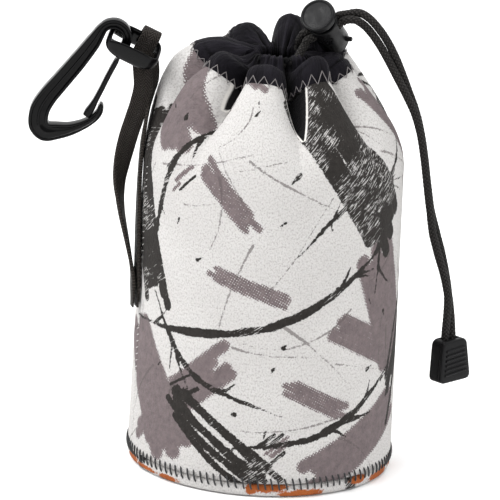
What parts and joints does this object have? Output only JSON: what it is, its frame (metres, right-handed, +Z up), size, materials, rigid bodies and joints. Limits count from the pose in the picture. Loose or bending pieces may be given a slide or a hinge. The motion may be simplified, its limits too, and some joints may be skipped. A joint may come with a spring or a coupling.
{
  "type": "lens pouch",
  "caption": "Padded round drawstring pouch with a gathered fabric collar, spring cord lock, cord tail with a clip-on end, and a webbing loop carrying a snap hook.",
  "frame": {"origin": "centre of the base panel's underside", "axes": "+Z up through the mouth, -Y to the front; the webbing loop is on the -X side and the cord's tail on the +X side"},
  "size_m": [0.1616, 0.0944, 0.1727],
  "materials": {
    "printed_neoprene": "matt padded knit, off-white with a printed brush pattern",
    "stretch_fabric": "matt black stretch fabric",
    "braided_cord": "matt black round braid",
    "webbing": "matt black herringbone webbing",
    "satin_plastic": "satin black",
    "black_plastic": "semi-gloss black",
    "spring_steel": "plain"
  },
  "bodies": {
    "pouch": {"base_panel": "printed_neoprene", "side_wall": "printed_neoprene", "collar": "stretch_fabric", "drawstring_loop": "braided_cord", "drawstring_tail_front": "braided_cord", "drawstring_tail_back": "braided_cord", "cord_end_body": "satin_plastic", "strand_knot": "braided_cord"},
    "carry_loop": {"carry_loop": "webbing"},
    "strap_ring": {"strap_ring": "black_plastic"},
    "hook": {"hook_frame": "black_plastic"},
    "gate": {"hook_gate": "black_plastic"},
    "lock": {"lock_barrel": "satin_plastic", "lock_spring": "spring_steel"},
    "plunger": {"lock_plunger": "satin_plastic"},
    "cord_end_cover": {"cord_end_cover": "satin_plastic"}
  },
  "joints": [
    {"name": "loop_swing", "type": "hinge", "parent": "pouch", "child": "carry_loop", "pos_m": [-0.046, -0.0121, 0.058], "axis": [0.2544, -0.9671, 0], "range_deg": [0, 90], "stiffness_Nm_per_rad": 0.05},
    {"name": "ring_tilt", "type": "hinge", "parent": "carry_loop", "child": "strap_ring", "pos_m": [-0.05012, 0.00025, 0.1559], "axis": [0.9135, 0, -0.4067], "range_deg": [-12, 3]},
    {"name": "hook_swing", "type": "hinge", "parent": "strap_ring", "child": "hook", "pos_m": [-0.05915, -0.004, 0.15491], "axis": [0, 1, 0], "range_deg": [-15, 30]},
    {"name": "gate_press", "type": "hinge", "parent": "hook", "child": "gate", "pos_m": [-0.05693, -0.004, 0.14747], "axis": [0, 1, 0], "range_deg": [0, 20], "stiffness_Nm_per_rad": 0.02},
    {"name": "lock_slide", "type": "slide", "parent": "pouch", "child": "lock", "axis": [-0.8619, -0.0562, -0.504], "range_m": [0, 0.0015]},
    {"name": "lock_press", "type": "slide", "parent": "lock", "child": "plunger", "axis": [0.3246, 0.7025, -0.6333], "range_m": [0, 0.003], "stiffness_N_per_m": 700, "deforming": ["lock_spring"]},
    {"name": "cord_end_open", "type": "hinge", "parent": "pouch", "child": "cord_end_cover", "pos_m": [0.06784, -0.00255, 0.0333], "axis": [0.7537, 0.6561, 0.0395], "range_deg": [0, 100]}
  ]
}
